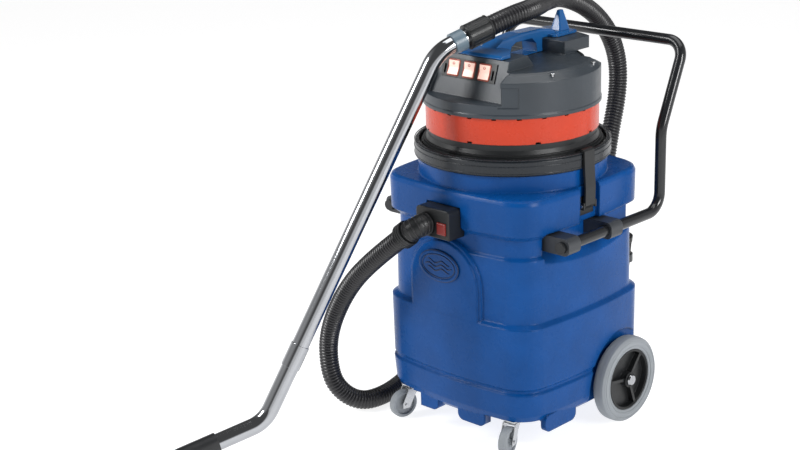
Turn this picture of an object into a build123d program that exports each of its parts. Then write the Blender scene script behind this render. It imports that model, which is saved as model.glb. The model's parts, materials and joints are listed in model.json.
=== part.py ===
"""Wet and dry shop vacuum with a square tank, a lift-off motor head, a push bail, a hose and a bent wand.

Everything is in millimetres, +Z up, -Y the front with the hose inlet. The shapes are drawn about the
upright axis of the motor head and moved to the centre of the machine's footprint when they are written.
"""
from build123d import *
from math import atan2, cos, degrees, hypot, radians, sin, tan
import os

os.makedirs("parts", exist_ok=True)

# ---------------------------------------------------------------- driving dimensions
FOOTPRINT_X = -84.6        # centre of the footprint, measured from the head's axis
FOOTPRINT_Y = -328.4

SIDE_SAG = 20.0            # how far a side bows out between its corners
CORNER_R = 70.0
WALL = 6.0
BASE_Z = 62.0
SHOULDER_Z = 585.0
NECK_R = 212.0
NECK_BORE_R = 198.0
NECK_TOP_Z = 640.0

COLLAR_R = 220.0
COLLAR_Z = (624.0, 660.0)
BAND_R = 193.0
BAND_Z = (687.0, 745.0)
COVER_R = 197.0
COVER_TOP_Z = 825.0
PLATEAU_Z = 838.0
MOTOR_RING_R = 98.0
MOTOR_R = 60.0

WHEEL_R = 100.0
WHEEL_W = 36.0
WHEEL_X = 238.0            # middle of the tread
AXLE_Y = 108.0
AXLE_R = 8.0
RUNNING_FIT = 0.06         # radial clearance of a shaft in its bore

CASTER_X = 152.0
CASTER_Y = -186.0
CASTER_R = 33.0
CASTER_TRAIL = 28.0
CASTER_TURN = 16.0         # degrees that a caster trails outward from straight ahead
CASTER_PAD_Z = 78.0

BAIL_X = 252.0
BAIL_R = 12.5
BAIL_WALL = 1.8
BAIL_LOW_Z = 482.0
BAIL_TOP = (298.0, 852.0)  # y and z of the crossbar
BAIL_BEND_R = 42.0
CLAMP_Y = (-116.0, 32.0)

PANEL_X = -12.0            # middle of the raised arch under the inlet
INLET_X = -25.0
INLET_Z = 512.0
ELBOW_R = 24.0
ELBOW_CORNER_Y = -294.0

HOSE_R = 22.5
WAND_R = 19.0
WAND_WALL = 1.5
WAND_START = (-10.0, -145.0)
WAND_HEADING = (-0.363, -0.932)

DRAIN_X = 104.0              # dump hose at the back

LATCH_Y = -8.0
LATCH_PIVOT = (221.5, 541.0)

# hose centre line, from the cuff at the tank to the cuff at the wand
HOSE_ROUTE = [
    (-62.7, -296.9, 482.4),
    (-152.2, -303.7, 412.2),
    (-240, -306, 322),
    (-306, -308, 200),
    (-302, -310, 98),
    (-282, -291, 50),
    (-256, -254, 23),
    (-242, -198, 23),
    (-258, -120, 23),
    (-296, -30, 23),
    (-322, 80, 23),
    (-312, 210, 23),
    (-258, 300, 23),
    (-161, 351, 23),
    (-91, 381, 67),
    (-50, 398, 144),
    (-48, 392, 260),
    (-44, 386, 400),
    (-42, 408, 540),
    (-40, 452, 690),
    (-40, 428, 798),
    (-44, 350, 884),
    (-44, 232, 936),
    (-14, 130, 940),
    (16, 76, 943),
    (34, 20, 943),
    (32.2, -36.7, 938.3),
    (12.2, -88.1, 920.6),
]


# ---------------------------------------------------------------- small helpers
def cyl(r, z0, z1, x=0.0, y=0.0):
    """Upright cylinder between two heights."""
    return Pos(x, y, (z0 + z1) / 2) * Cylinder(r, z1 - z0)


def ring(r_out, r_in, z0, z1, x=0.0, y=0.0):
    """Upright tube between two heights."""
    return cyl(r_out, z0, z1, x, y) - cyl(r_in, z0 - 1, z1 + 1, x, y)


def rod_x(r, x0, x1, y, z):
    """Cylinder along X."""
    return Pos((x0 + x1) / 2, y, z) * Rot(0, 90, 0) * Cylinder(r, x1 - x0)


def rod_y(r, y0, y1, x, z):
    """Cylinder along Y."""
    return Pos(x, (y0 + y1) / 2, z) * Rot(90, 0, 0) * Cylinder(r, y1 - y0)


def block(x, y, z):
    """Box from three (low, high) pairs."""
    size = [b - a for a, b in (x, y, z)]
    middle = [(a + b) / 2 for a, b in (x, y, z)]
    return Pos(*middle) * Box(*size)


def turned(points):
    """Solid of revolution about Z from (radius, height) points."""
    return revolve(make_face(Plane.XZ * Polyline(*points, close=True)), Axis.Z)


def side_profile(points, half_width):
    """Prism across X from (y, z) points."""
    face = make_face(Plane.YZ * Polyline(*points, close=True))
    return extrude(face, half_width, both=True)


def swept_tube(path, r_out, r_in=None):
    """Round tube, or bar when no inner radius is given, along a path of lines and arcs."""
    start = Plane(origin=path @ 0, z_dir=path % 0)
    tube = sweep(start * Circle(r_out), path)
    if r_in is None:
        return tube
    return tube - sweep(start * Circle(r_in), path)


def mirrored(shape):
    return mirror(shape, Plane.YZ)


def at_angle(shape, angle):
    """Turn a shape about the head's axis."""
    return Rot(0, 0, angle) * shape


# ---------------------------------------------------------------- tank
def plan_face(half, z):
    """Square with bowed sides and rounded corners, at one height."""
    c = half - SIDE_SAG
    corners = [(c, -c), (c, c), (-c, c), (-c, -c)]
    middles = [(half, 0), (0, half), (-half, 0), (0, -half)]
    sides = [ThreePointArc(p, m, q) for p, m, q in zip(corners, middles, corners[1:] + corners[:1])]
    outline = make_face(sides)
    outline = fillet(outline.vertices(), CORNER_R)
    return Pos(0, 0, z) * outline


def plan_solid(sections):
    """Loft straight between (height, half width) sections."""
    return loft([plan_face(half, z) for z, half in sections], ruled=True)


TANK_OUTSIDE = [
    (BASE_Z, 200), (66, 210), (76, 220), (92, 226), (143, 229), (147, 224), (153, 224), (158, 228),
    (296, 229), (304, 219), (448, 218), (454, 212), (492, 212), (506, 226), (574, 227), (582, 224),
    (SHOULDER_Z, 219),
]
TANK_INSIDE = [
    (BASE_Z + 8, 190), (94, 217), (290, 222), (306, 212), (404, 211), (416, 196), (500, 196),
    (514, 219), (SHOULDER_Z - WALL, 219),
]


def wheel_well(clearance):
    """Space that a rear wheel needs in the tank's lower corner, on the +X side."""
    depth = (212.0 - clearance, 300.0)
    r = WHEEL_R + 13 + clearance
    well = rod_x(r, depth[0], depth[1], AXLE_Y, WHEEL_R)
    return well + block(depth, (AXLE_Y - r, 300), (0, WHEEL_R)) + block(depth, (AXLE_Y, 300), (0, WHEEL_R + 60))


def front_panel():
    """Raised arch that carries the badge, over a narrow shoulder; its foot runs into the bulge below."""
    low, spring = 288.0, 368.0
    panel = []
    for half, level in ((98.0, 228.8), (105.0, 224.5)):
        outline = block((PANEL_X - half, PANEL_X + half), (-260, -190), (low, spring))
        outline += rod_y(half, -260, -190, PANEL_X, spring)
        panel.append(outline & plan_solid([(low, level), (500, level)]))
    return panel[0] + panel[1]


def side_pocket(grow=0.0):
    """Hand room behind the bail on the +X side, with a sloping ledge; grown, the tank's inner side of it."""
    corners = [(192 - grow, 506 + grow), (192 - grow, 460), (224 - grow, 414 - grow), (260, 414 - grow)]
    face = make_face(Plane.XZ * Polyline(*corners, (260, 506 + grow), close=True))
    return Pos(0, 260, 0) * extrude(face, 402 + grow)


def skirt_lobes():
    """Rounded feet of the shell that guard the casters, at the front and on both sides."""
    front = block((-40, 40), (-14, 14), (-20, 20))
    front = fillet(front.edges().filter_by(Axis.Y), 16)
    side = block((-6.5, 6.5), (-54, 54), (-20, 20))
    side = fillet(side.edges().filter_by(Axis.X), 16)
    lobes = [Pos(x, -203, 67) * front for x in (-84, 56)]
    return lobes + [Pos(x, -100, 67) * side for x in (-212, 212)]


def make_tank():
    outside = plan_solid(TANK_OUTSIDE) + cyl(NECK_R, SHOULDER_Z - 10, NECK_TOP_Z) + front_panel()
    for lobe in skirt_lobes():
        outside += lobe
    cavity = plan_solid(TANK_INSIDE)
    for sign in (1, -1):
        well = wheel_well(0)
        inner_well = wheel_well(WALL + 1)
        pocket = side_pocket()
        inner_pocket = side_pocket(WALL)
        channel = block((214, 260), (LATCH_Y - 34, LATCH_Y + 34), (500, 600))
        inner_channel = block((208, 260), (LATCH_Y - 40, LATCH_Y + 40), (494, 606))
        if sign < 0:
            well, pocket, channel = [mirrored(s) for s in (well, pocket, channel)]
            inner_well, inner_pocket = mirrored(inner_well), mirrored(inner_pocket)
            inner_channel = mirrored(inner_channel)
        for cut in (well, pocket, channel):
            outside -= cut
        for wall in (inner_well, inner_pocket, inner_channel):
            cavity -= wall
        outside -= cyl(62, 0, CASTER_PAD_Z, sign * CASTER_X, CASTER_Y)
        cavity -= cyl(62 + WALL, 0, CASTER_PAD_Z + WALL, sign * CASTER_X, CASTER_Y)
    outside -= block((-55, 43), (-260, -212.6), (483, 551))
    cavity -= block((-70, 60), (-260, -206), (470, 564))
    tunnel = rod_x(15, -214, 214, AXLE_Y, WHEEL_R)
    tank = outside - cavity - cyl(NECK_BORE_R, SHOULDER_Z - 20, NECK_TOP_Z + 5)
    tank += tunnel
    tank -= rod_x(AXLE_R + 0.2, -240, 240, AXLE_Y, WHEEL_R)
    tank -= rod_y(ELBOW_R + 2.2, -260, -180, INLET_X, INLET_Z)
    tank -= rod_y(19.2, 190, 260, DRAIN_X, 96)
    return tank


def make_badge():
    """Plain oval with a raised rim."""
    plate = extrude(Ellipse(57, 35), 2.4)
    rim = extrude(Ellipse(57, 35) - Ellipse(52, 30), 3.8)
    return Pos(-19, -229.2, 407) * Rot(90, 0, 0) * (plate + rim)


def make_collar_ring():
    z0, z1 = COLLAR_Z
    body = turned([
        (NECK_R + 0.4, z0), (COLLAR_R - 2, z0), (COLLAR_R, z0 + 3), (COLLAR_R, z1 - 5), (COLLAR_R - 4, z1),
        (210.0, z1), (208.0, z1 - 6), (208.0, NECK_TOP_Z + 0.4), (NECK_R + 0.4, NECK_TOP_Z + 0.4),
    ])
    for sign in (1, -1):
        body -= block(sorted((sign * 215.5, sign * 230)), (LATCH_Y - 19, LATCH_Y + 19), (z0 - 1, z1 + 1))
    return body


def make_collar_gasket():
    return ring(207.4, NECK_BORE_R, NECK_TOP_Z + 0.4, NECK_TOP_Z + 3.4)


# ---------------------------------------------------------------- motor head
def make_head_base():
    """Stepped black tray that closes the tank and carries the filter and the motors."""
    z = NECK_TOP_Z + 3.6
    body = turned([
        (70, z), (206.5, z), (206.5, z + 8), (203, z + 8), (203, z + 14), (199, z + 14), (199, z + 21),
        (194, z + 21), (190, z + 30), (190, BAND_Z[0] - 0.4), (185, BAND_Z[0] - 0.4), (185, z + 5), (70, z + 5),
    ])
    socket = ring(76, 70, z - 14, z + 1)
    return body + socket


def make_motor_deck():
    deck = cyl(184.6, BAND_Z[0] - 9, BAND_Z[0] - 4)
    for k in range(3):
        x, y = motor_place(k)
        deck -= cyl(26, BAND_Z[0] - 12, BAND_Z[0], x, y)
    return deck


def make_exhaust_band():
    z0, z1 = BAND_Z
    band = ring(BAND_R, 187.0, z0, z1)
    for k in range(22):
        slot = block((180, 200), (-5, 5), (z1 - 4, z1 + 2))
        band -= at_angle(slot, k * 360 / 22 + 4)
    for k in range(8):
        slot = block((180, 200), (-6, 6), (z0 - 2, z0 + 4))
        band -= at_angle(slot, k * 45 + 12)
    return band


def console_block(grow=0.0):
    """Raised block behind the switches; a negative grow gives its hollow."""
    points = [
        (-151 - grow, 774 - grow), (-122.5 - grow, 860 + grow), (-62 + grow, 864 + grow), (-40 + grow, 836),
        (-40 + grow, 774 - grow),
    ]
    low = side_profile(points, 98 + grow)
    taper = block((-130, 130), (-240, 40), (700, 900))
    for sign in (1, -1):
        corners = [(sign * (99 + grow), 770), (sign * (86 + grow), 868), (sign * 140, 868), (sign * 140, 770)]
        wedge = make_face(Plane.XZ * Polyline(*corners, close=True))
        taper -= Pos(0, 60, 0) * extrude(wedge, 320)
    return low & taper


def rear_block(shrink=0.0):
    """Raised rear cap that overhangs the cooling vent; shrunk, it is the cap's hollow."""
    cap = block((-84 + shrink, 84 - shrink), (82 + shrink, 200), (830, 868 - shrink))
    overhang = block((-150, 150), (100, 260), (812, 841 + shrink)) - cyl(152 - shrink, 790, 900)
    return (cap & cyl(189 - shrink, 800, 900)) - overhang


def make_motor_cover():
    top = PLATEAU_Z
    outside = turned([
        (0, BAND_Z[1]), (COVER_R + 1.5, BAND_Z[1]), (COVER_R + 1.5, BAND_Z[1] + 7), (COVER_R, BAND_Z[1] + 9),
        (COVER_R, COVER_TOP_Z - 3), (COVER_R - 4, COVER_TOP_Z), (182, top - 4), (172, top), (0, top + 1),
    ])
    hollow = turned([
        (0, BAND_Z[1] - 1), (COVER_R - 4.5, BAND_Z[1] - 1), (COVER_R - 4.5, COVER_TOP_Z - 6), (178, top - 9),
        (0, top - 4),
    ])
    front_cut = side_profile([(-260, 774), (-151, 774), (-122.5, 860), (-122.5, 900), (-260, 900)], 108)
    front_wall = side_profile([(-260, 769), (-146, 769), (-117.5, 860), (-117.5, 900), (-260, 900)], 112)
    vent_cut = block((-150, 150), (100, 260), (812, 840.5)) - cyl(152, 800, 900)
    vent_wall = block((-154, 154), (95, 200), (808, 850)) - cyl(148, 800, 900)
    hollow -= front_wall
    hollow -= vent_wall
    cover = outside - front_cut - vent_cut
    cover += console_block()
    cover += rear_block()
    cover = cover - hollow - rear_block(4)
    cover -= console_block(-4)
    cover -= switch_opening()
    for sign in (1, -1):
        facet = Pos(0, 0, 790) * Rot(0, 0, sign * 38 - 90) * Pos(COVER_R + 3.5, 0, 0) * Box(12, 46, 44)
        cover -= facet
    for angle in SCREW_ANGLES:
        cover -= at_angle(cyl(2.6, 800, 840, 186, 0), angle)
    cover -= rod_y(9.1, 185, 205, 60, 782)
    return cover


SCREW_ANGLES = (-22, 22, 158, 202)
FACE_TILT = degrees(atan2(28.5, 86.0))
SWITCH_X = (-50.0, -6.0, 38.0)
SWITCH_Z = 831.0


def on_face(shape, x, height, proud=0.0):
    """Place a shape drawn with +Z outward and +Y upward on the slanted switch face."""
    rise = height - 774.0
    y = -151.0 + rise * tan(radians(FACE_TILT))
    return Pos(x, y, height) * Rot(90 - FACE_TILT, 0, 0) * Pos(0, 0, proud) * shape


def switch_opening():
    return on_face(Box(146, 36, 40), -6, SWITCH_Z)


def make_switch_bezel():
    frame = on_face(Box(152, 42, 2.4), -6, SWITCH_Z, 1.3) + on_face(Box(145, 35, 10), -6, SWITCH_Z, -4)
    for x in SWITCH_X:
        frame -= on_face(Box(29, 32, 30), x, SWITCH_Z)
    for x in (-74.0, 62.0):
        frame -= on_face(Box(5, 20, 6), x, SWITCH_Z - 4, 2)
    return frame


def make_rocker(x):
    """Lens-topped rocker that tips about its middle."""
    outline = make_face(Plane.YZ * Polyline(
        (-15.4, -1.5), (-15.4, 4.2), (0, 1.8), (15.4, 5.6), (15.4, -1.5), (4, -8), (-4, -8), close=True))
    body = extrude(outline, 13.9, both=True)
    return on_face(body, x, SWITCH_Z, 0.6)


def make_cooling_vent():
    """Black louvre set back under the rear cap."""
    louvre = ring(154.8, 152.4, 812.3, 840.2)
    for z in (817, 823, 829, 835):
        louvre += ring(161, 153, z - 0.9, z + 0.9)
    return louvre & block((-148, 148), (100.4, 200), (800, 850))


def make_carry_handle():
    """Coloured top trim: front deck, arched grip and rear deck in one moulding."""
    deck_points = [
        (-124, 861.2), (-127, 864), (-120, 868.5), (-72, 872), (-58, 871), (-60, 865),
    ]
    deck = side_profile(deck_points, 85)
    for sign in (1, -1):
        corners = [(sign * x, y) for x, y in ((90, -130), (76, -130), (82, -100), (40, -50), (90, -50))]
        trim = make_face(Plane.XY * Polyline(*corners, close=True))
        deck -= Pos(0, 0, 850) * extrude(trim, 40)
    grip_points = [
        (-80, 868), (-74, 874), (-48, 886), (10, 891), (84, 890), (112, 885), (132, 873), (132, 869.2),
        (81.4, 869.2), (81.4, 840), (64, 840), (60, 862), (46, 874), (-10, 874), (-24, 866), (-29, 852),
        (-30, 840), (-42.5, 840), (-61.2, 864.9), (-78, 865.6),
    ]
    grip = side_profile(grip_points, 21)
    grip = fillet(grip.edges().filter_by(lambda e: e.center().Z > 884 and abs(e.center().X) > 20), 6)
    rear = block((-44, 44), (100, 183), (869.2, 874))
    rear = fillet(rear.edges().filter_by(Axis.Z), 12)
    liner = block((-21, 21), (-31, 66), (839.8, 842))
    return deck + grip + rear + liner


def make_hose_horn():
    """Tapered horn that keeps the hose on the grip."""
    base = Pos(6, 163, 874.2) * Rectangle(32, 36)
    top = Pos(2, 168, 917) * Rectangle(9, 14)
    horn = loft([fillet(base.vertices(), 6), fillet(top.vertices(), 3)], ruled=True)
    return horn


def motor_place(k):
    angle = radians(90 + 120 * k)
    return MOTOR_RING_R * cos(angle), MOTOR_RING_R * sin(angle)


def make_motor(k):
    """Fan case and motor can, hollow for the rotor."""
    x, y = motor_place(k)
    z = BAND_Z[0] - 1
    shell = turned([
        (22, z), (MOTOR_R, z), (MOTOR_R, z + 40), (44, z + 46), (44, z + 112), (30, z + 122), (7, z + 122),
        (7, z + 119), (28, z + 119), (41, z + 109), (41, z + 47), (MOTOR_R - 2, z + 38), (MOTOR_R - 2, z + 2),
        (22, z + 2),
    ])
    return Pos(x, y, 0) * shell


def make_rotor(k):
    """Fan wheel, shaft and armature in one turning piece."""
    x, y = motor_place(k)
    z = BAND_Z[0] - 1
    body = turned([
        (0, z + 6), (54, z + 6), (54, z + 9), (18, z + 9), (12, z + 32), (5, z + 32), (5, z + 52), (24, z + 52),
        (24, z + 96), (6.9, z + 96), (6.9, z + 118), (5.5, z + 118), (5.5, z + 126), (0, z + 126),
    ])
    blade = block((14.5, 52), (-0.8, 0.8), (z + 7.5, z + 22))
    for n in range(8):
        body += at_angle(blade, n * 45)
    return Pos(x, y, 0) * body


def make_motor_gaskets():
    z = BAND_Z[0] - 4
    return [ring(50, 28, z, z + 3, *motor_place(k)) for k in range(3)]


def make_filter():
    """Pleated sleeve bonded to its top plate, which has the air hole in its middle."""
    z = NECK_TOP_Z - 10.6
    sleeve = ring(96, 84, z - 150, z + 1)
    for k in range(36):
        sleeve -= at_angle(block((93, 100), (-2.4, 2.4), (z - 140, z - 10)), k * 10)
    return sleeve + ring(108, 76.4, z, z + 5)


def make_float_cage():
    """Open basket under the air hole that guides the float."""
    z = NECK_TOP_Z - 12
    cage = ring(62, 58, z - 118, z + 14) + cyl(62, z - 122, z - 118)
    flange = ring(69.6, 58, z + 8, z + 14)
    for k in range(8):
        cage -= at_angle(block((50, 70), (-15, 15), (z - 108, z - 14)), k * 45)
    return cage + flange


def make_float_ball():
    return Pos(0, 0, NECK_TOP_Z - 12 - 117.6 + 38) * Sphere(38)


def make_cover_screws():
    screw = cyl(4.6, 833.2, 836.0, 186, 0) + cyl(2.3, 822, 834, 186, 0)
    return [at_angle(Pos(0, 0, 1.3) * screw, angle) for angle in SCREW_ANGLES]


def make_cover_clips():
    """Small spring clips that hold the cover to the band on the left side."""
    clip = block((198.9, 202.0), (-8, 8), (738, 774)) + block((193.4, 199), (-8, 8), (738, 744))
    return [at_angle(clip, angle) for angle in (214, 146)]


def make_power_gland():
    """Cable inlet with its bore, at the back of the cover."""
    body = rod_y(9.0, 189, 199, 60, 782) + rod_y(13, 198.4, 206, 60, 782) + rod_y(9.5, 206, 222, 60, 782)
    return body - rod_y(5, 180, 230, 60, 782)


# ---------------------------------------------------------------- latches
def make_latch_bracket():
    """Yoke in the tank's channel that carries the latch pin, on the +X side."""
    x, z = LATCH_PIVOT
    plate = block((214.1, 216.1), (LATCH_Y - 24, LATCH_Y + 24), (z - 22, z + 20))
    ears = block((216, x + 5), (LATCH_Y + 18.4, LATCH_Y + 22.4), (z - 8, z + 8))
    ears += block((216, x + 5), (LATCH_Y - 22.4, LATCH_Y - 18.4), (z - 8, z + 8))
    hole = rod_y(3.1, LATCH_Y - 30, LATCH_Y + 30, x, z)
    return plate + ears - hole


def make_latch_pin():
    x, z = LATCH_PIVOT
    return rod_y(3.0, LATCH_Y - 24, LATCH_Y + 24, x, z)


def make_latch():
    """Curved over-centre hook that holds the collar down, on the +X side."""
    x, z = LATCH_PIVOT
    points = [
        (x - 3.6, z - 4), (x + 3.5, z - 6), (x + 5.5, z), (x + 6.5, z + 40), (x + 3.5, z + 90),
        (x + 2.5, z + 122), (x - 2, z + 126), (x - 9.5, z + 126), (x - 9.5, z + 119.8), (x - 3.2, z + 119.8),
        (x - 2.6, z + 80), (x + 1.8, z + 40), (x - 1.2, z + 8),
    ]
    face = make_face(Plane.XZ * Polyline(*points, close=True))
    strap = Pos(0, LATCH_Y, 0) * extrude(face, 17, both=True)
    barrel = rod_y(5.0, LATCH_Y - 17.8, LATCH_Y + 17.8, x, z)
    strap += barrel
    return strap - rod_y(3.0 + RUNNING_FIT, LATCH_Y - 30, LATCH_Y + 30, x, z)


# ---------------------------------------------------------------- inlet
def make_inlet_housing():
    body = block((-54, 42), (-262, -213), (484, 550))
    body = fillet(body.edges().filter_by(Axis.Y).filter_by(lambda e: e.center().Z > 540), 10)
    body = fillet(body.faces().sort_by(Axis.Y)[0].edges(), 2)
    body -= rod_y(ELBOW_R + 0.4, -280, -200, INLET_X, INLET_Z)
    body -= block((8, 34), (-280, -244), (494, 522))
    return body


def make_inlet_elbow():
    """Bent spigot that turns the hose to the side and down."""
    start = Vector(INLET_X, -208, INLET_Z)
    corner = Vector(INLET_X, ELBOW_CORNER_Y, INLET_Z)
    first = Vector(*HOSE_ROUTE[0])
    end = first + (corner - first).normalized() * 12
    path = FilletPolyline(start, corner, end, radius=[26.5])
    return swept_tube(path, ELBOW_R, ELBOW_R - 3)


def make_tank_cuff():
    """Socket on the hose end that slides over the elbow."""
    first = Vector(*HOSE_ROUTE[0])
    back = (first - Vector(*HOSE_ROUTE[1])).normalized()
    place = Plane(origin=first, z_dir=back)
    bore = Pos(0, 0, 41.5) * Cylinder(ELBOW_R + 0.3, 60) + Cylinder(18, 30)
    return place * (Pos(0, 0, 11) * Cylinder(28.2, 22) - bore)


def make_release_button():
    body = block((8.6, 33.4), (-266, -250), (494.6, 521.4))
    return fillet(body.faces().sort_by(Axis.Y)[0].edges(), 3)


# ---------------------------------------------------------------- hose and wand
def route_radii(points):
    """Arc radius at each corner: 0.45 of the shorter run over the tangent of half the turn."""
    radii = []
    for a, b, c in zip(points, points[1:], points[2:]):
        before = Vector(*b) - Vector(*a)
        after = Vector(*c) - Vector(*b)
        half_turn = radians(before.get_angle(after)) / 2
        radii.append(0.45 * min(before.length, after.length) / tan(half_turn))
    return radii


def make_hose():
    radii = route_radii(HOSE_ROUTE)
    path = FilletPolyline(*HOSE_ROUTE, radius=radii)
    print("hose length", round(path.length), "radii", [round(r) for r in radii])
    tube = swept_tube(path, HOSE_R)
    print("hose volume ratio", round(tube.volume / (path.length * 3.14159265 * HOSE_R**2), 4))
    return tube


def wand_point(s, z):
    """Point in the upright plane that holds the wand."""
    length = hypot(*WAND_HEADING)
    return Vector(WAND_START[0] + s * WAND_HEADING[0] / length, WAND_START[1] + s * WAND_HEADING[1] / length, z)


WAND_TOP = (-22.0, 908.0)
WAND_BEND_1 = (65.0, 880.0)
WAND_BEND_2 = (500.0, 114.7)
WAND_END = (640.0, 83.3)
WAND_BEND_R = 90.0
WAND_BEND_2_R = 70.0
WAND_SPLIT = 0.84          # where the two tubes meet, along the long straight


def wand_joint():
    a = wand_point(*WAND_BEND_1)
    b = wand_point(*WAND_BEND_2)
    return a + (b - a) * WAND_SPLIT


def make_wand_upper():
    path = FilletPolyline(wand_point(*WAND_TOP), wand_point(*WAND_BEND_1), wand_joint(), radius=[WAND_BEND_R])
    return swept_tube(path, WAND_R, WAND_R - WAND_WALL)


def make_wand_lower():
    """Lower tube, whose swaged socket slips over the upper one."""
    a, b = wand_joint(), wand_point(*WAND_BEND_2)
    down = (b - a).normalized()
    path = FilletPolyline(a + down * 0.4, b, wand_point(*WAND_END), radius=[WAND_BEND_2_R])
    tube = swept_tube(path, WAND_R, WAND_R - WAND_WALL)
    socket_at = Plane(origin=a + down * 0.4, z_dir=-down)
    socket = socket_at * (Pos(0, 0, 22) * (Cylinder(WAND_R + 2.0, 46) - Cylinder(WAND_R + 0.2, 60)))
    collar = socket_at * (Pos(0, 0, -4) * (Cylinder(WAND_R + 2.0, 8) - Cylinder(WAND_R - 1.0, 10)))
    return tube + collar + socket


def wand_axis_plane(down):
    """Plane across the wand, this far down from its top end, with its normal pointing up the tube."""
    top, bend = wand_point(*WAND_TOP), wand_point(*WAND_BEND_1)
    up = (top - bend).normalized()
    return Plane(origin=top - up * down, z_dir=up)


def make_wand_cuff():
    """Socket that joins the hose to the wand."""
    end = Vector(*HOSE_ROUTE[-1])
    toward = (wand_point(*WAND_TOP) - end).normalized()
    place = Plane(origin=end + toward * 0.3, z_dir=toward)
    bore = Pos(0, 0, 69) * Cylinder(WAND_R + 0.3, 60) + Cylinder(16, 90)
    return place * (Pos(0, 0, 29) * Cylinder(26.5, 58) - bore)


def make_air_ring():
    """Sleeve that turns on the wand to bleed off suction."""
    place = wand_axis_plane(38)
    return place * (Cylinder(23.5, 28) - Cylinder(WAND_R + RUNNING_FIT, 40))


def tool_plane(s, z):
    """Frame of the floor tool: +X across it, +Y along the wand's heading."""
    origin = wand_point(s, z)
    return Plane(origin=origin, x_dir=(-WAND_HEADING[1], WAND_HEADING[0], 0), z_dir=(0, 0, 1))


TOOL_S = 800.0
TOOL_HALF = 140.0


def make_tool_neck():
    start = wand_point(WAND_END[0] - 30, WAND_END[1] + 6.7)
    first_bend = wand_point(WAND_END[0] + 60, WAND_END[1] - 13.5)
    second_bend = wand_point(TOOL_S - 52, 44)
    path = FilletPolyline(start, first_bend, second_bend, wand_point(TOOL_S - 8, 44), radius=[90, 60])
    return swept_tube(path, WAND_R + 3.4, WAND_R + 0.3)


def make_tool_body():
    place = tool_plane(TOOL_S, 0)
    shell = Pos(0, 0, 25) * Box(2 * TOOL_HALF, 62, 34)
    shell = fillet(shell.edges().filter_by(Axis.X).filter_by(lambda e: e.center().Z > 30), 14)
    shell = fillet(shell.edges().filter_by(Axis.Z), 10)
    hump = Pos(0, 6, 40) * Rot(90, 0, 0) * Cylinder(27, 50)
    hump = hump & Pos(0, 0, 55) * Box(80, 100, 90)
    shell += hump
    shell -= Pos(0, 0, 15) * Box(2 * TOOL_HALF - 24, 26, 26)
    shell -= Pos(0, 20, 44) * Rot(90, 0, 0) * Cylinder(WAND_R + 3.6, 44)
    for side in (1, -1):
        shell -= Pos(0, side * 22, 8) * Box(2 * TOOL_HALF - 16, 5, 14)
    return place * shell


def make_squeegees():
    place = tool_plane(TOOL_S, 0)
    strip = Box(2 * TOOL_HALF - 18, 4, 13.6)
    return [place * (Pos(0, side * 22, 8) * strip) for side in (1, -1)]


# ---------------------------------------------------------------- push bail
def make_push_handle():
    y, z = BAIL_TOP
    start = CLAMP_Y[0] - 26
    low = BAIL_LOW_Z
    points = [
        (BAIL_X, start, low), (BAIL_X, 212, low), (BAIL_X, 214, 668), (BAIL_X, y, z),
        (-BAIL_X, y, z), (-BAIL_X, 214, 668), (-BAIL_X, 212, low), (-BAIL_X, start, low),
    ]
    bend = BAIL_BEND_R
    path = FilletPolyline(*points, radius=[bend, 90, bend, bend, 90, bend])
    return swept_tube(path, BAIL_R, BAIL_R - BAIL_WALL)


def make_handle_clamps():
    """Split blocks that hold the bail's feet to the tank."""
    clamps = []
    for sign in (1, -1):
        for y in CLAMP_Y:
            body = block((192.3, 270), (y - 20, y + 20), (BAIL_LOW_Z - 19, BAIL_LOW_Z + 19))
            body = fillet(body.edges().filter_by(Axis.Y).filter_by(lambda e: e.center().X > 260), 14)
            body -= rod_y(BAIL_R + 0.2, y - 30, y + 30, BAIL_X, BAIL_LOW_Z)
            body -= rod_x(3.2, 188, 236, y, BAIL_LOW_Z + 8)
            clamps.append(body if sign > 0 else mirrored(body))
    return clamps


def make_bail_plugs():
    plugs = []
    for sign in (1, -1):
        y = CLAMP_Y[0] - 26
        plug = rod_y(BAIL_R, y - 5, y - 0.1, BAIL_X, BAIL_LOW_Z)
        plug += rod_y(BAIL_R - BAIL_WALL - 0.2, y - 1, y + 14, BAIL_X, BAIL_LOW_Z)
        plugs.append(plug if sign > 0 else mirrored(plug))
    return plugs


# ---------------------------------------------------------------- wheels
def make_axle():
    """Through axle that ends just inside the two push nuts."""
    reach = WHEEL_X + WHEEL_W / 2 + 4
    return rod_x(AXLE_R, -reach, reach, AXLE_Y, WHEEL_R)


def make_wheel_tyre():
    w = WHEEL_W / 2
    profile = [
        (72, -w + 4), (84, -w), (94, -w + 1), (99, -w + 6), (WHEEL_R, -w + 12), (WHEEL_R, w - 12), (99, w - 6),
        (94, w - 1), (84, w), (72, w - 4),
    ]
    return Pos(WHEEL_X, AXLE_Y, WHEEL_R) * Rot(0, 90, 0) * turned(profile)


def make_wheel_hub():
    w = WHEEL_W / 2
    profile = [
        (AXLE_R + RUNNING_FIT, -w + 1), (15, -w + 1), (15, -5), (64, -5), (66, -w + 5), (71.6, -w + 5),
        (71.6, w - 5), (66, w - 5), (64, 0), (18, 0), (15, w - 2), (AXLE_R + RUNNING_FIT, w - 2),
    ]
    hub = turned(profile)
    for k in range(3):
        rib = block((14, 65), (-3.5, 3.5), (-2, 13))
        hub += at_angle(rib, k * 120 + 20)
    return Pos(WHEEL_X, AXLE_Y, WHEEL_R) * Rot(0, 90, 0) * hub


def make_wheel_cap():
    """Push nut that keeps the wheel on the axle."""
    cap = turned([(0, 0), (13, 0), (13, 3), (11, 6.5), (0, 7.5)]) - Cylinder(AXLE_R - 0.4, 11)
    inner = WHEEL_X + WHEEL_W / 2 - 1.6
    return Pos(inner, AXLE_Y, WHEEL_R) * Rot(0, 90, 0) * (cap - Pos(0, 0, 1) * Cylinder(AXLE_R + 0.02, 9.4))


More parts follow.
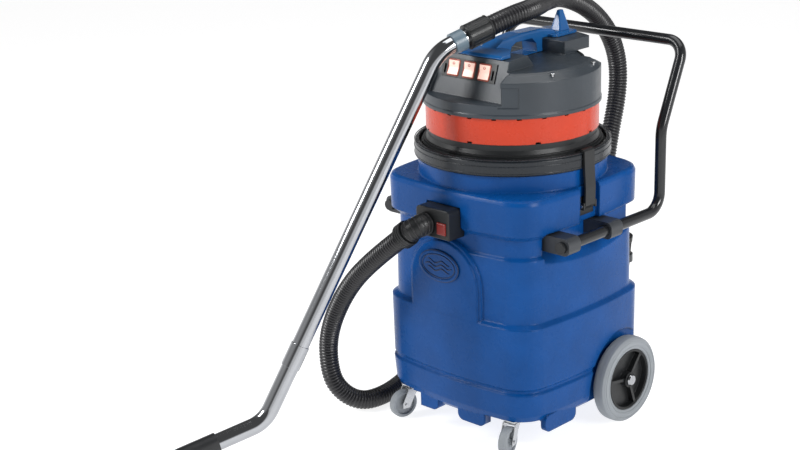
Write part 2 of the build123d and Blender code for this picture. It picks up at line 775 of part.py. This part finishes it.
def caster_frame(sign):
    """Swivel frame of a caster: the wheel trails along local -Y."""
    return Pos(sign * CASTER_X, CASTER_Y, 0) * Rot(0, 0, sign * CASTER_TURN)


def make_caster_plate(sign):
    plate = block((-21, 21), (-21, 21), (CASTER_PAD_Z - 3.2, CASTER_PAD_Z - 0.2))
    plate = fillet(plate.edges().filter_by(Axis.Z), 6)
    race = cyl(17, CASTER_PAD_Z - 6.2, CASTER_PAD_Z - 3)
    pin = cyl(4, CASTER_PAD_Z - 14, CASTER_PAD_Z - 5)
    head = cyl(7, CASTER_PAD_Z - 15.5, CASTER_PAD_Z - 13)
    return Pos(sign * CASTER_X, CASTER_Y, 0) * (plate + race + pin + head)


def make_caster_fork(sign):
    """Pressed fork with its axle stub, turning on the plate's pin."""
    top = cyl(19, CASTER_PAD_Z - 9.4, CASTER_PAD_Z - 6.6)
    bridge = block((-15.5, 15.5), (-20, 12), (CASTER_PAD_Z - 9.4, CASTER_PAD_Z - 6.6))
    fork = top + bridge
    leg = make_face(Plane.YZ * Polyline(
        (10, CASTER_PAD_Z - 7), (-20, CASTER_PAD_Z - 7), (-CASTER_TRAIL - 9, CASTER_R + 4),
        (-CASTER_TRAIL - 9, CASTER_R - 8), (-CASTER_TRAIL + 9, CASTER_R - 8), (-4, CASTER_R + 22), close=True))
    for side in (1, -1):
        fork += Pos(side * 14.5, 0, 0) * extrude(leg, 1.1, both=True)
    fork += rod_x(3.5, -18, 18, -CASTER_TRAIL, CASTER_R)
    fork -= cyl(4 + RUNNING_FIT, CASTER_PAD_Z - 12, CASTER_PAD_Z - 5)
    return caster_frame(sign) * fork


def make_caster_wheel(sign):
    profile = [
        (3.5 + RUNNING_FIT, -11.5), (8, -11.5), (8, -5), (24, -5), (25, -10), (30, -10), (CASTER_R, -6),
        (CASTER_R, 6), (30, 10), (25, 10), (24, 5), (8, 5), (8, 11.5), (3.5 + RUNNING_FIT, 11.5),
    ]
    return caster_frame(sign) * Pos(0, -CASTER_TRAIL, CASTER_R) * Rot(0, 90, 0) * turned(profile)


# ---------------------------------------------------------------- drain

def make_drain_elbow():
    path = FilletPolyline((DRAIN_X, 216, 96), (DRAIN_X, 262, 96), (DRAIN_X, 262, 128), radius=[22])
    flange = rod_y(24, 230.6, 235, DRAIN_X, 96) - rod_y(15.5, 200, 250, DRAIN_X, 96)
    return swept_tube(path, 17, 14) + flange


def make_drain_hose():
    low, bend = (DRAIN_X, 262, 128.2), (DRAIN_X, 262, 200)
    path = FilletPolyline(low, bend, (DRAIN_X + 10, 256, 290), (DRAIN_X + 22, 250, 372), radius=[200, 200])
    return swept_tube(path, 19, 15)


def make_drain_plug():
    top = Vector(DRAIN_X + 22, 250, 372)
    along = (top - Vector(DRAIN_X + 10, 256, 290)).normalized()
    place = Plane(origin=top, z_dir=along)
    return place * (Pos(0, 0, 7.2) * Cylinder(20.5, 14)) + place * (Pos(0, 0, -8) * Cylinder(14.9, 20))


def make_drain_clip():
    """Bracket on the back of the tank that holds the drain hose."""
    x, y, z = DRAIN_X + 16.5, 252.6, 330.0
    grip = ring(24.5, 21.5, z - 9, z + 9, x, y)
    grip -= block((x - 40, x + 2), (y + 12, y + 40), (z - 20, z + 20))
    arm = block((x - 12, x + 12), (218, y - 21), (z - 9, z + 9)) - cyl(21.5, z - 12, z + 12, x, y)
    return grip + arm


# ---------------------------------------------------------------- write the parts
def as_compound(shape):
    return Compound(children=list(shape)) if isinstance(shape, list) else shape


def write(name, shape):
    moved = as_compound(shape).moved(Location((-FOOTPRINT_X, -FOOTPRINT_Y, 0)))
    export_step(moved, f"parts/{name}.step")
    return moved.bounding_box()


def all_parts():
    parts = {
        "tank": make_tank(),
        "badge": make_badge(),
        "collar_ring": make_collar_ring(),
        "collar_gasket": make_collar_gasket(),
        "head_base": make_head_base(),
        "motor_deck": make_motor_deck(),
        "exhaust_band": make_exhaust_band(),
        "motor_cover": make_motor_cover(),
        "cooling_vent": make_cooling_vent(),
        "switch_bezel": make_switch_bezel(),
        "carry_handle": make_carry_handle(),
        "hose_horn": make_hose_horn(),
        "cover_screws": make_cover_screws(),
        "cover_clips": make_cover_clips(),
        "power_gland": make_power_gland(),
        "motor_gaskets": make_motor_gaskets(),
        "filter": make_filter(),
        "float_cage": make_float_cage(),
        "float_ball": make_float_ball(),
        "inlet_housing": make_inlet_housing(),
        "inlet_elbow": make_inlet_elbow(),
        "tank_cuff": make_tank_cuff(),
        "release_button": make_release_button(),
        "hose": make_hose(),
        "wand_cuff": make_wand_cuff(),
        "air_ring": make_air_ring(),
        "wand_upper": make_wand_upper(),
        "wand_lower": make_wand_lower(),
        "tool_neck": make_tool_neck(),
        "tool_body": make_tool_body(),
        "squeegees": make_squeegees(),
        "push_handle": make_push_handle(),
        "handle_clamps": make_handle_clamps(),
        "bail_plugs": make_bail_plugs(),
        "rear_axle": make_axle(),
        "drain_elbow": make_drain_elbow(),
        "drain_hose": make_drain_hose(),
        "drain_plug": make_drain_plug(),
        "drain_clip": make_drain_clip(),
    }
    for k, x in enumerate(SWITCH_X):
        parts[f"rocker_{k + 1}"] = make_rocker(x)
        parts[f"rotor_{k + 1}"] = make_rotor(k)
    parts["motors"] = [make_motor(k) for k in range(3)]
    bracket = make_latch_bracket()
    pin = make_latch_pin()
    parts["latch_brackets"] = [bracket, mirrored(bracket)]
    parts["latch_pins"] = [pin, mirrored(pin)]
    for side, sign in (("right", 1), ("left", -1)):
        place = (lambda s: s) if sign > 0 else mirrored
        parts[f"latch_{side}"] = place(make_latch())
        parts[f"wheel_tyre_{side}"] = place(make_wheel_tyre())
        parts[f"wheel_hub_{side}"] = place(make_wheel_hub())
        parts[f"caster_fork_{side}"] = make_caster_fork(sign)
        parts[f"caster_wheel_{side}"] = make_caster_wheel(sign)
    cap = make_wheel_cap()
    parts["wheel_caps"] = [cap, mirrored(cap)]
    parts["caster_plates"] = [make_caster_plate(1), make_caster_plate(-1)]
    return parts


CORD_NODES = ("hose", "tank_cuff", "wand_cuff")
boxes = {name: write(name, shape) for name, shape in all_parts().items()}
solid_boxes = [box for name, box in boxes.items() if name not in CORD_NODES]
low = [min(getattr(box.min, axis) for box in solid_boxes) for axis in "XYZ"]
high = [max(getattr(box.max, axis) for box in solid_boxes) for axis in "XYZ"]
print("nodes", len(boxes))
print("low", [round(v, 1) for v in low], "high", [round(v, 1) for v in high])
print("footprint centre is off by", round((low[0] + high[0]) / 2, 1), round((low[1] + high[1]) / 2, 1))
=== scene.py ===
"""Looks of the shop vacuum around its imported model.

Camera, materials, the ribbed hose, raised surface detail, floor and light. at() takes millimetres
from the motor head's axis and the floor, and gives a point in the model's frame, in metres.
"""
import json
from math import cos, pi, radians, sin

import bmesh
import bpy
from mathutils import Matrix, Vector


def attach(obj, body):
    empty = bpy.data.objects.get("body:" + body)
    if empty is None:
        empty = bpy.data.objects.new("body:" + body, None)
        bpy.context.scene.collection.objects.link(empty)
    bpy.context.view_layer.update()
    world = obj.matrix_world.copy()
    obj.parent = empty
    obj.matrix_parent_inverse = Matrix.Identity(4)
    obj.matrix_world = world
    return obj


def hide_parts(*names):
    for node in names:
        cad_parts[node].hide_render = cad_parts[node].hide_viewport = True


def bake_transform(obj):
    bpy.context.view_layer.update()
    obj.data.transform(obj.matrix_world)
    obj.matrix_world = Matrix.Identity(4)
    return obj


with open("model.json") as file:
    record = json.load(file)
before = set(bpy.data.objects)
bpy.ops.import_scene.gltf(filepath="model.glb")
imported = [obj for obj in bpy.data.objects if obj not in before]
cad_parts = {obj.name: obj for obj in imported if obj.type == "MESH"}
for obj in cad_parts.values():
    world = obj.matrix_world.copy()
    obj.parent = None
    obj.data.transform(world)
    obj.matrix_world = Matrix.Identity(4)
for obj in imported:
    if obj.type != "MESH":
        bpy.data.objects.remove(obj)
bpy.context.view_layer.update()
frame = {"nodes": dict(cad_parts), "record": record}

HEAD_AXIS = Vector((0.0846, 0.3284, 0.0))


def at(x, y, z):
    """Point in the model's frame from millimetres measured off the motor head's axis."""
    return HEAD_AXIS + Vector((x, y, z)) / 1000


# ---------------------------------------------------------------- camera
def make_camera():
    """Camera above the front right, turned and tilted to face the machine."""
    azimuth, elevation, roll = radians(44.5), radians(17.8), radians(-1.8)
    right = Vector((cos(azimuth), sin(azimuth), 0))
    back = Vector((sin(azimuth) * cos(elevation), -cos(azimuth) * cos(elevation), sin(elevation)))
    up = back.cross(right)
    x_axis = right * cos(roll) + up * sin(roll)
    y_axis = up * cos(roll) - right * sin(roll)
    data = bpy.data.cameras.new("camera")
    data.lens = 75.22
    data.sensor_width = 36.0
    camera = bpy.data.objects.new("camera", data)
    bpy.context.scene.collection.objects.link(camera)
    place = Matrix((x_axis, y_axis, back)).transposed().to_4x4()
    place.translation = at(2357.9, -2767.4, 1620.2)
    camera.matrix_world = place
    bpy.context.scene.camera = camera


make_camera()


# ---------------------------------------------------------------- materials
def principled(name, colour, roughness, metallic=0.0):
    mat = bpy.data.materials.new(name)
    mat.use_nodes = True
    shader = mat.node_tree.nodes["Principled BSDF"]
    shader.inputs["Base Color"].default_value = (*colour, 1)
    shader.inputs["Roughness"].default_value = roughness
    shader.inputs["Metallic"].default_value = metallic
    return mat, mat.node_tree, shader


def noise(tree, scale, detail=3.0, roughness=0.55, stretch=(1, 1, 1)):
    """Noise in object coordinates, so that it stays on the piece as the piece moves."""
    where = tree.nodes.new("ShaderNodeTexCoord")
    mapping = tree.nodes.new("ShaderNodeMapping")
    mapping.inputs["Scale"].default_value = stretch
    texture = tree.nodes.new("ShaderNodeTexNoise")
    texture.inputs["Scale"].default_value = scale
    texture.inputs["Detail"].default_value = detail
    texture.inputs["Roughness"].default_value = roughness
    tree.links.new(where.outputs["Object"], mapping.inputs["Vector"])
    tree.links.new(mapping.outputs["Vector"], texture.inputs["Vector"])
    return texture.outputs["Fac"]


def vary(tree, shader, socket, fac, low, high):
    """Drive a number socket from a noise between two values."""
    span = tree.nodes.new("ShaderNodeMapRange")
    span.inputs["From Min"].default_value = 0.3
    span.inputs["From Max"].default_value = 0.7
    span.inputs["To Min"].default_value = low
    span.inputs["To Max"].default_value = high
    tree.links.new(fac, span.inputs["Value"])
    tree.links.new(span.outputs["Result"], shader.inputs[socket])


def tint(tree, shader, fac, dark, light):
    """Mix two close colours by a noise."""
    ramp = tree.nodes.new("ShaderNodeValToRGB")
    ramp.color_ramp.elements[0].position = 0.32
    ramp.color_ramp.elements[1].position = 0.68
    ramp.color_ramp.elements[0].color = (*dark, 1)
    ramp.color_ramp.elements[1].color = (*light, 1)
    tree.links.new(fac, ramp.inputs["Fac"])
    tree.links.new(ramp.outputs["Color"], shader.inputs["Base Color"])


def relief(tree, shader, fac, strength, distance, edge):
    """Bump from a noise over softened edges."""
    bump = tree.nodes.new("ShaderNodeBump")
    bump.inputs["Strength"].default_value = strength
    bump.inputs["Distance"].default_value = distance
    tree.links.new(fac, bump.inputs["Height"])
    if edge:
        soft = tree.nodes.new("ShaderNodeBevel")
        soft.samples = 6
        soft.inputs["Radius"].default_value = edge
        tree.links.new(soft.outputs["Normal"], bump.inputs["Normal"])
    tree.links.new(bump.outputs["Normal"], shader.inputs["Normal"])


def moulded(
        name, colour, roughness, grain=900.0, strength=0.25, depth=0.0003, edge=0.0012,
        spread=0.12, gloss=0.5):
    """Moulded plastic or rubber: fine grain, faint cloudy colour and worn gloss."""
    mat, tree, shader = principled(name, colour, roughness)
    shader.inputs["Specular IOR Level"].default_value = gloss
    clouds = noise(tree, 9.0, 4.0)
    darker = [c * (1 - spread) for c in colour]
    lighter = [min(1.0, c * (1 + spread)) for c in colour]
    tint(tree, shader, clouds, darker, lighter)
    wear = noise(tree, 34.0, 5.0)
    vary(tree, shader, "Roughness", wear, roughness * 0.86, min(1.0, roughness * 1.14))
    relief(tree, shader, noise(tree, grain, 2.0), strength, depth, edge)
    return mat


def metal(name, colour, roughness, scratch=(1, 1, 1), strength=0.05, edge=0.0006):
    """Bare or plated metal: scratch stretches its fine grain along one axis."""
    mat, tree, shader = principled(name, colour, roughness, 1.0)
    tint(tree, shader, noise(tree, 14.0, 4.0), [c * 0.93 for c in colour], colour)
    wear = noise(tree, 260.0, 4.0, stretch=scratch)
    vary(tree, shader, "Roughness", wear, roughness * 0.75, roughness * 1.35)
    relief(tree, shader, noise(tree, 420.0, 2.0, stretch=scratch), strength, 0.0001, edge)
    return mat


MATERIALS = {
    "tank_plastic": moulded(
        "tank_plastic", (0.002, 0.057, 0.228), 0.28, grain=150, strength=0.22, depth=0.0005,
        edge=0.006, gloss=0.16),
    "head_plastic": moulded(
        "head_plastic", (0.026, 0.034, 0.043), 0.36, grain=1400, strength=0.3, edge=0.003),
    "black_plastic": moulded("black_plastic", (0.009, 0.010, 0.011), 0.38, grain=1300, gloss=0.4),
    "ring_plastic": moulded(
        "ring_plastic", (0.011, 0.014, 0.018), 0.28, grain=1300, strength=0.12, edge=0.002, gloss=0.4),
    "band_orange": moulded(
        "band_orange", (0.50, 0.034, 0.006), 0.28, grain=900, strength=0.12, edge=0.0012,
        spread=0.06, gloss=0.4),
    "trim_blue": moulded(
        "trim_blue", (0.008, 0.085, 0.26), 0.22, grain=900, strength=0.08, edge=0.002,
        spread=0.06, gloss=0.45),
    "rocker_lens": moulded("rocker_lens", (0.90, 0.62, 0.54), 0.2, grain=700, strength=0.1, spread=0.04),
    "button_red": moulded("button_red", (0.17, 0.008, 0.005), 0.35, strength=0.15),
    "seal_rubber": moulded("seal_rubber", (0.014, 0.014, 0.015), 0.7, grain=700, strength=0.35),
    "hose_rubber": moulded(
        "hose_rubber", (0.011, 0.011, 0.013), 0.34, grain=600, strength=0.15, edge=0.0),
    "tyre_grey": moulded(
        "tyre_grey", (0.24, 0.26, 0.28), 0.6, grain=700, strength=0.4, depth=0.0004, edge=0.001),
    "chrome_tube": metal("chrome_tube", (0.42, 0.43, 0.45), 0.08, strength=0.02),
    "bail_tube": moulded(
        "bail_tube", (0.010, 0.011, 0.013), 0.18, grain=1500, strength=0.06, edge=0.0),
    "steel": metal("steel", (0.55, 0.56, 0.57), 0.28, scratch=(1, 1, 6)),
    "filter_cloth": moulded(
        "filter_cloth", (0.78, 0.76, 0.70), 0.9, grain=1600, strength=0.6, edge=0.0),
    "clamp_grey": moulded("clamp_grey", (0.028, 0.032, 0.038), 0.42, grain=1200, strength=0.35),
    "clip_grey": moulded("clip_grey", (0.42, 0.44, 0.46), 0.4, grain=1200),
    "tool_plastic": moulded("tool_plastic", (0.012, 0.013, 0.015), 0.4, grain=1300, strength=0.3),
}
SLEEVE = moulded("sleeve_grey", (0.10, 0.145, 0.18), 0.3, grain=1200, strength=0.15)
lens = MATERIALS["rocker_lens"].node_tree.nodes["Principled BSDF"]
lens.inputs["Emission Color"].default_value = (1.0, 0.62, 0.5, 1)
lens.inputs["Emission Strength"].default_value = 0.35

# Each CAD node takes its slot's material, but for the bleed ring, which has a grey of its own.
for part in frame["record"]["subparts"]:
    node = frame["nodes"][part["node"]]
    node.data.materials.clear()
    node.data.materials.append(SLEEVE if part["node"] == "air_ring" else MATERIALS[part["material_slot"]])


# ---------------------------------------------------------------- mesh helpers
def mesh_piece(name, bm, slot, smooth_angle=30.0):
    """Turn a bmesh into a piece that takes the named slot's material."""
    bmesh.ops.recalc_face_normals(bm, faces=bm.faces)
    mesh = bpy.data.meshes.new(name)
    bm.to_mesh(mesh)
    bm.free()
    for face in mesh.polygons:
        face.use_smooth = True
    mesh.set_sharp_from_angle(angle=radians(smooth_angle))
    mesh.materials.append(MATERIALS[slot])
    piece = bpy.data.objects.new(name, mesh)
    bpy.context.scene.collection.objects.link(piece)
    return piece


def centreline(points, steps=24):
    """Points of the smooth NURBS line that has these control points."""
    curve = bpy.data.curves.new("route", "CURVE")
    curve.dimensions = "3D"
    curve.resolution_u = steps
    spline = curve.splines.new("NURBS")
    spline.points.add(len(points) - 1)
    for control, point in zip(spline.points, points):
        control.co = (*point, 1)
    spline.order_u = 3
    spline.use_endpoint_u = True
    route = bpy.data.objects.new("route", curve)
    bpy.context.scene.collection.objects.link(route)
    bpy.context.view_layer.update()
    line = bpy.data.meshes.new_from_object(route)
    found = [v.co.copy() for v in line.vertices]
    bpy.data.objects.remove(route)
    bpy.data.meshes.remove(line)
    return found


def spaced(line, step):
    """Points every step along a line, with the direction there."""
    out = []
    travelled, wanted = 0.0, 0.0
    for a, b in zip(line, line[1:]):
        run = (b - a).length
        while run > 0 and wanted <= travelled + run:
            out.append((a.lerp(b, (wanted - travelled) / run), (b - a).normalized()))
            wanted += step
        travelled += run
    return out


def add_tube(bm, stations, sides, closed=False):
    """Add a tube through (point, direction, radius) stations, as a loop or capped at both ends."""
    normal = stations[0][1].orthogonal().normalized()
    rings = []
    for point, along, radius in stations:
        normal = (normal - along * normal.dot(along)).normalized()
        other = along.cross(normal)
        turns = [2 * pi * k / sides for k in range(sides)]
        rings.append([bm.verts.new(point + (normal * cos(t) + other * sin(t)) * radius) for t in turns])
    for a, b in zip(rings, rings[1:] + rings[:1] if closed else rings[1:]):
        for k in range(sides):
            bm.faces.new((a[k], a[k - 1], b[k - 1], b[k]))
    if not closed:
        bm.faces.new(rings[0])
        bm.faces.new(list(reversed(rings[-1])))


# ---------------------------------------------------------------- hose
# From the tank cuff down, along the left side on the floor, up the back and over the head.
HOSE_ROUTE = [
    (-62.7, -296.9, 482.4), (-152.2, -303.7, 412.2), (-240, -306, 322), (-306, -308, 200),
    (-302, -310, 98), (-282, -291, 50), (-256, -254, 23), (-242, -198, 23), (-258, -120, 23),
    (-296, -30, 23), (-322, 80, 23), (-312, 210, 23), (-258, 300, 23), (-161, 351, 23),
    (-91, 381, 67), (-50, 398, 144), (-48, 392, 260), (-44, 386, 400), (-42, 408, 540),
    (-40, 452, 690), (-40, 428, 798), (-44, 350, 884), (-44, 232, 936), (-14, 130, 940),
    (16, 76, 943), (34, 20, 943), (32.2, -36.7, 938.3), (12.2, -88.1, 920.6),
]
RIB_PITCH = 0.0074
RIB_RADII = [0.0202, 0.0213, 0.0225, 0.0225, 0.0213]  # one rib, from groove to crest and back


def make_hose():
    """Ribbed suction hose along its curved route between the tank and the head."""
    line = centreline([at(*p) for p in HOSE_ROUTE])
    count = len(RIB_RADII)
    places = spaced(line, RIB_PITCH / count)
    stations = [(p, d, RIB_RADII[k % count]) for k, (p, d) in enumerate(places)]
    bm = bmesh.new()
    add_tube(bm, stations, 30)
    hose = mesh_piece("ribbed_hose", bm, "hose_rubber", 60)
    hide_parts("hose")
    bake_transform(hose)


make_hose()


# ---------------------------------------------------------------- surface detail
# Painted shade: a dark navy on the badge's raised beads, standing for the shade in its moulded grooves.
BADGE_SHADE_NAVY = moulded("badge_painted_shade", (0.002, 0.018, 0.075), 0.4, grain=900)
AMBER = moulded("amber_edge", (0.30, 0.045, 0.02), 0.3, grain=900)
UP = Vector((0, 0, 1))

# Where the raised detail sits on the model, in millimetres.
BADGE_CENTRE = (-19.0, -231.2, 407.0)
WHEEL_X, WHEEL_Y, WHEEL_RADIUS = 238, 108, 100
WAND_AIM = (-2.0, -124.5, 908.0)  # the wand cuff runs towards this from the hose's end
PANEL_SLOPE = 28.5 / 86.0  # how far the switch panel leans back for each millimetre of height
PANEL_FOOT_Y, PANEL_FOOT_Z = -151, 774
ROCKER_Z = 831
ROCKER_XS = (-50.0, -6.0, 38.0)
RIM_HALF_WIDTH, RIM_HALF_HEIGHT = 15.6, 17.2


def beads(name, lines, radius, slot, body, closed=True, material=None):
    """One piece of thin raised beads along lines of points, riding on a body."""
    bm = bmesh.new()
    for points in lines:
        last = len(points) - 1
        stations = []
        for k, point in enumerate(points):
            ahead = points[(k + 1) % len(points)] if closed else points[min(k + 1, last)]
            behind = points[k - 1] if closed else points[max(k - 1, 0)]
            stations.append((point, (ahead - behind).normalized(), radius))
        add_tube(bm, stations, 10, closed)
    piece = mesh_piece(name, bm, slot, 50)
    if material:
        piece.data.materials[0] = material
    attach(piece, body)
    return piece


def circle(centre, axis, radius, count=60):
    """Points of a circle round an axis, in metres."""
    first = axis.orthogonal().normalized()
    second = axis.cross(first).normalized()
    turns = [2 * pi * k / count for k in range(count)]
    return [centre + (first * cos(t) + second * sin(t)) * radius for t in turns]


def oval(x, y, z, half_width, half_height):
    """Upright oval that faces the front, from millimetres."""
    turns = [2 * pi * k / 72 for k in range(72)]
    return [at(x + half_width * cos(t), y, z + half_height * sin(t)) for t in turns]


def make_badge_relief():
    """Dark outline, inner line and a plain wave emblem on the oval, in a dark navy that is painted shade
    of the badge's moulded grooves.
    """
    x, y, z = BADGE_CENTRE
    outline, inner_line = oval(x, y, z, 57.4, 35.4), oval(x, y - 0.6, z, 47.5, 26.5)
    beads("badge_outline", [outline], 0.0016, "tank_plastic", "root", material=BADGE_SHADE_NAVY)
    beads("badge_inner_line", [inner_line], 0.0011, "tank_plastic", "root", material=BADGE_SHADE_NAVY)
    waves = []
    for height, half in ((9.0, 31.0), (0.0, 38.0), (-9.0, 31.0)):
        along = [-half + 2 * half * k / 36 for k in range(37)]
        waves.append([at(x + u, y - 0.6, z + height + 3.4 * sin(pi * u / 19)) for u in along])
    beads("badge_waves", waves, 0.0014, "tank_plastic", "root", closed=False, material=BADGE_SHADE_NAVY)


def make_inlet_rings():
    """Bellows rings on the bend between the inlet block and the hose cuff, and lips on the cuff."""
    line = centreline([at(-25, -266, 512), at(-25, -294, 512), at(-47, -295.7, 494.8)], 40)
    bellows = [circle(point, along, 0.0242) for point, along in spaced(line, 0.0068)]
    beads("inlet_bellows", bellows, 0.0015, "hose_rubber", "root")
    first, second = at(*HOSE_ROUTE[0]), at(*HOSE_ROUTE[1])
    back = (first - second).normalized()
    spots = (0.0015, 0.008, 0.0145, 0.0208)
    lips = [circle(first + back * away, back, 0.0281) for away in spots]
    beads("tank_cuff_lips", lips, 0.0012, "black_plastic", "root")


def make_wand_cuff_ribs():
    """Grip ribs along the socket between hose and wand, and a lip at each end."""
    start = at(*HOSE_ROUTE[-1])
    toward = (at(*WAND_AIM) - start).normalized()
    around = circle(Vector((0, 0, 0)), toward, 0.0265, 20)
    along = (0.007, 0.011, 0.032, 0.050, 0.053)
    ribs = [[start + toward * away + edge for away in along] for edge in around]
    beads("wand_cuff_ribs", ribs, 0.0012, "black_plastic", "head", closed=False)
    lips = [circle(start + toward * away, toward, 0.0267) for away in (0.0025, 0.0565)]
    beads("wand_cuff_lips", lips, 0.0016, "black_plastic", "head")


def make_rocker_frames():
    """Moulded rims round the lit rockers, and a plain dot on each."""
    up = Vector((0, PANEL_SLOPE, 1)).normalized()
    out = Vector((0, -1, PANEL_SLOPE)).normalized()
    for k, x in enumerate(ROCKER_XS):
        centre = at(x, PANEL_FOOT_Y + (ROCKER_Z - PANEL_FOOT_Z) * PANEL_SLOPE, ROCKER_Z)
        corners = []
        for across, height in ((1, -1), (1, 1), (-1, 1), (-1, -1)):
            u, v = across * RIM_HALF_WIDTH, height * RIM_HALF_HEIGHT
            corners.append(centre + out * 0.0026 + Vector((u / 1000, 0, 0)) + up * v / 1000)
        rim = []
        for a, b in zip(corners, corners[1:] + corners[:1]):
            rim += [a.lerp(b, t) for t in (0.06, 0.35, 0.65, 0.94)]
        beads(f"rocker_rim_{k + 1}", [rim], 0.0015, "black_plastic", "head", material=AMBER)
        dot = circle(centre + up * 0.009 + out * 0.0049, out, 0.0026, 20)
        beads(f"rocker_dot_{k + 1}", [dot], 0.0006, "rocker_lens", f"rocker_{k + 1}_body", material=AMBER)


def make_wheel_rings():
    """Moulded rings on the outer faces of the tyres and hubs."""
    axis = Vector((1, 0, 0))
    for side, sign in (("left", -1), ("right", 1)):
        rings = {}
        for slot, faces in (
                ("tyre_grey", ((0.0905, 17.6), (0.079, 16.6), (0.0732, 14.2))),
                ("black_plastic", ((0.0688, 13.2), (0.017, 15.6)))):
            rings[slot] = [
                circle(at(sign * (WHEEL_X + reach), WHEEL_Y, WHEEL_RADIUS), axis, radius, 72)
                for radius, reach in faces]
        beads(f"tyre_rings_{side}", rings["tyre_grey"], 0.0009, "tyre_grey", f"wheel_{side}")
        beads(f"hub_rings_{side}", rings["black_plastic"], 0.0012, "black_plastic", f"wheel_{side}")


def make_ring_lips():
    """Fine moulded lips round the clamping ring."""
    lips = [circle(at(0, 0, z), UP, r, 160) for z, r in ((659.4, 0.2192), (646, 0.22), (630, 0.2196))]
    beads("clamping_ring_lips", lips, 0.0011, "ring_plastic", "root")


make_badge_relief()
make_inlet_rings()
make_wand_cuff_ribs()
make_rocker_frames()
make_wheel_rings()
make_ring_lips()


# ---------------------------------------------------------------- stage and light
def make_stage():
    """Floor with a white glow of its own, wide enough to run far past the view."""
    bm = bmesh.new()
    bmesh.ops.create_grid(bm, x_segments=1, y_segments=1, size=90)
    mesh = bpy.data.meshes.new("floor")
    bm.to_mesh(mesh)
    bm.free()
    mat, _, shader = principled("floor", (0.42, 0.42, 0.425), 0.6)
    shader.inputs["Emission Color"].default_value = (1.0, 1.0, 1.0, 1)
    shader.inputs["Emission Strength"].default_value = 0.84
    shader.inputs["Specular IOR Level"].default_value = 0.25
    mesh.materials.append(mat)
    floor = bpy.data.objects.new("floor", mesh)
    bpy.context.scene.collection.objects.link(floor)


def area_light(name, place, aim, size, power):
    """White rectangular lamp at a place, facing the point it aims at."""
    data = bpy.data.lights.new(name, "AREA")
    data.shape = "RECTANGLE"
    data.size, data.size_y = size
    data.energy = power
    lamp = bpy.data.objects.new(name, data)
    lamp.location = place
    lamp.rotation_euler = (Vector(aim) - Vector(place)).to_track_quat("-Z", "Y").to_euler()
    bpy.context.scene.collection.objects.link(lamp)


def make_light():
    """Dim studio with brighter walls at the machine's two sides and a pale band along the horizon."""
    world = bpy.data.worlds.new("studio")
    world.use_nodes = True
    tree = world.node_tree
    where = tree.nodes.new("ShaderNodeTexCoord")
    across = tree.nodes.new("ShaderNodeVectorMath")
    across.operation = "DOT_PRODUCT"
    across.inputs[1].default_value = (0.71, 0.70, 0.0)
    side = tree.nodes.new("ShaderNodeMath")
    side.operation = "ABSOLUTE"
    span = tree.nodes.new("ShaderNodeMapRange")
    span.interpolation_type = "SMOOTHSTEP"
    span.inputs["From Min"].default_value = 0.45
    span.inputs["From Max"].default_value = 0.9
    span.inputs["To Min"].default_value = 0.12
    span.inputs["To Max"].default_value = 0.5
    tree.links.new(where.outputs["Generated"], across.inputs[0])
    tree.links.new(across.outputs["Value"], side.inputs[0])
    tree.links.new(side.outputs["Value"], span.inputs["Value"])
    height = tree.nodes.new("ShaderNodeSeparateXYZ")
    fade = tree.nodes.new("ShaderNodeMapRange")
    fade.interpolation_type = "SMOOTHSTEP"
    fade.inputs["From Min"].default_value = 0.08
    fade.inputs["From Max"].default_value = 0.22
    blend = tree.nodes.new("ShaderNodeMix")
    blend.inputs["A"].default_value = 0.97
    tree.links.new(where.outputs["Generated"], height.inputs["Vector"])
    tree.links.new(height.outputs["Z"], fade.inputs["Value"])
    tree.links.new(fade.outputs["Result"], blend.inputs["Factor"])
    tree.links.new(span.outputs["Result"], blend.inputs["B"])
    tree.links.new(blend.outputs["Result"], tree.nodes["Background"].inputs["Strength"])
    tree.nodes["Background"].inputs["Color"].default_value = (1.0, 1.0, 1.0, 1)
    bpy.context.scene.world = world
    area_light("key", (-1.9, -2.4, 2.6), (0, 0.2, 0.4), (1.1, 1.6), 105)
    area_light("side", (3.6, 0.2, 1.9), (0, 0.3, 0.5), (0.9, 1.8), 90)
    area_light("top", (0.2, 0.9, 3.4), (0, 0.2, 0.3), (2.4, 2.4), 45)


make_stage()
make_light()
bpy.context.scene.view_settings.view_transform = "Standard"
